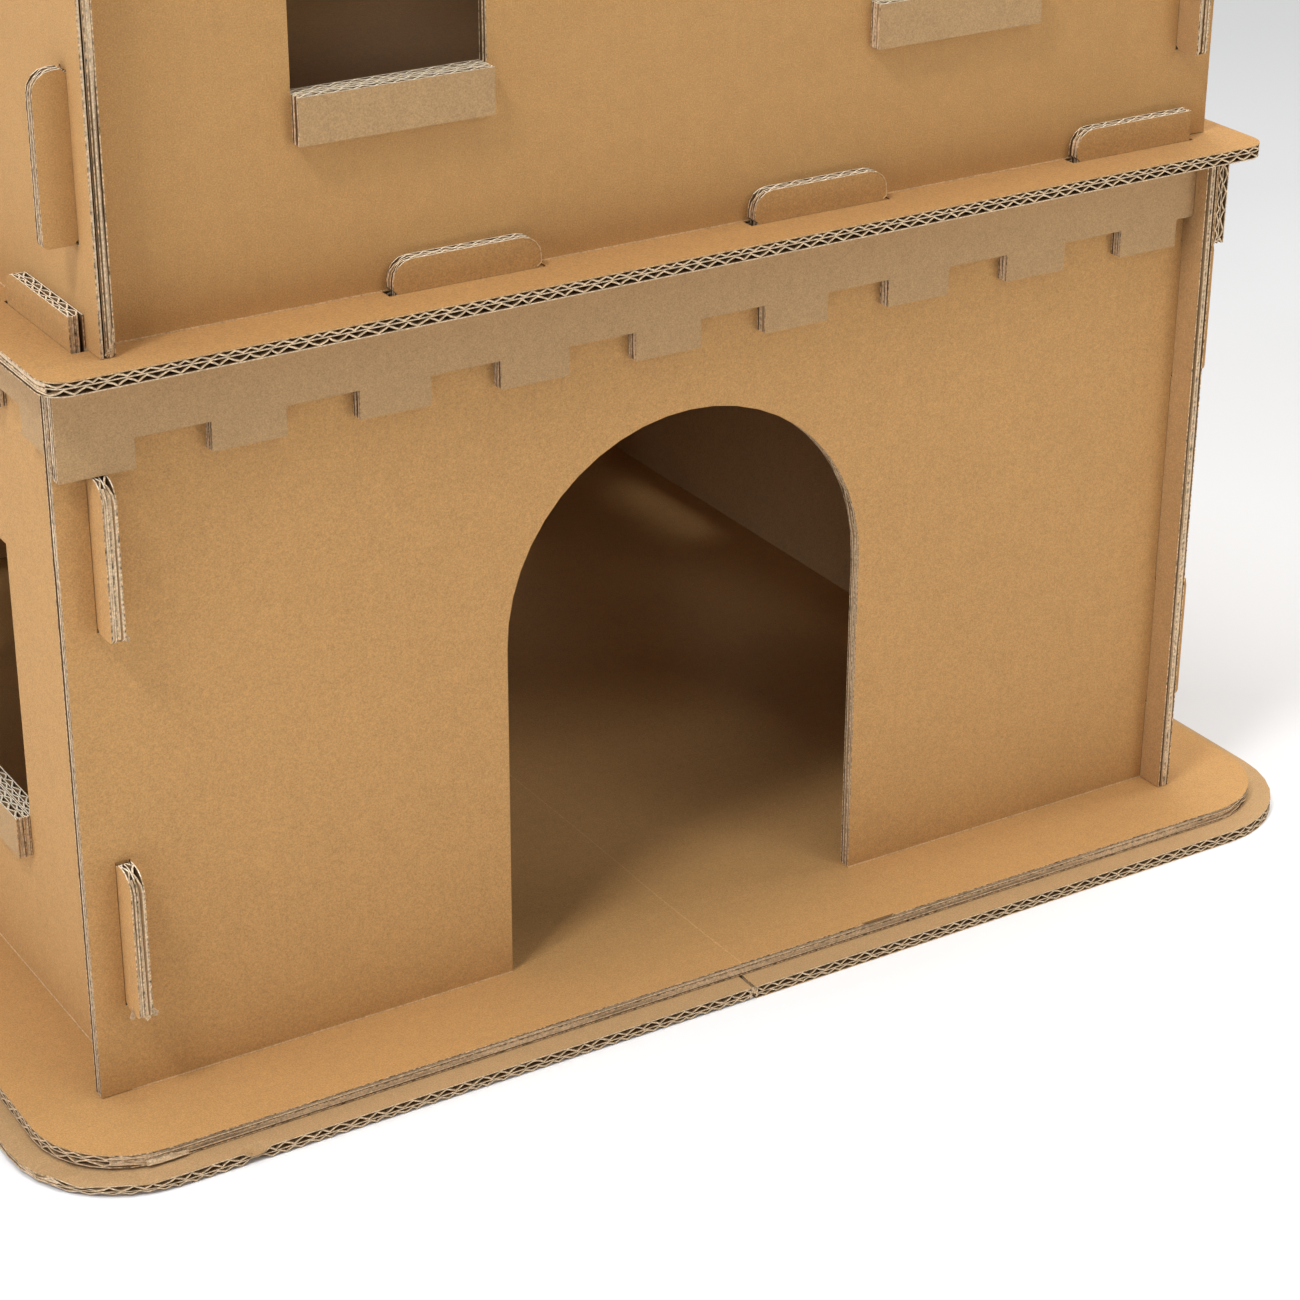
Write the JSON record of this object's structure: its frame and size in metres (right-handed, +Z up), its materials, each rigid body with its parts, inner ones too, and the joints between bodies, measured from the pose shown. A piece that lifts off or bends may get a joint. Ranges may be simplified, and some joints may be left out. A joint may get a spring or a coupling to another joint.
{
  "type": "cardboard castle",
  "caption": "Two-storey castle of slotted double-wall cardboard sheets with an arched doorway, windows with sills, crenellated corbel strips, a battlement and a wide base.",
  "frame": {"origin": "middle of the base's underside", "axes": "+Z up, X along the front wall with +X to the viewer's right, the doorway in the front wall faces -Y"},
  "size_m": [0.621, 0.621, 0.6641],
  "materials": {
    "kraft_outer": "matte golden kraft liner",
    "kraft_inner": "matte greyer kraft liner"
  },
  "bodies": {
    "root": {"base_lower_left": "kraft_outer", "base_lower_right": "kraft_outer", "base_upper": "kraft_outer", "lower_wall_front": "kraft_outer", "lower_wall_right": "kraft_outer", "lower_wall_back": "kraft_outer", "lower_wall_left": "kraft_outer", "corbel_front": "kraft_inner", "corbel_right": "kraft_inner", "corbel_back": "kraft_inner", "corbel_left": "kraft_inner", "sill_lower_right_1": "kraft_inner", "sill_lower_right_2": "kraft_inner", "sill_lower_back_1": "kraft_inner", "sill_lower_back_2": "kraft_inner", "sill_lower_left_1": "kraft_inner", "sill_lower_left_2": "kraft_inner", "floor_plate": "kraft_outer", "upper_wall_front": "kraft_outer", "upper_wall_right": "kraft_outer", "upper_wall_back": "kraft_outer", "upper_wall_left": "kraft_outer", "sill_upper_front_1": "kraft_inner", "sill_upper_front_2": "kraft_inner", "sill_upper_right_1": "kraft_inner", "sill_upper_right_2": "kraft_inner", "sill_upper_back_1": "kraft_inner", "sill_upper_back_2": "kraft_inner", "sill_upper_left_1": "kraft_inner", "sill_upper_left_2": "kraft_inner", "roof_plate": "kraft_outer"}
  },
  "joints": []
}
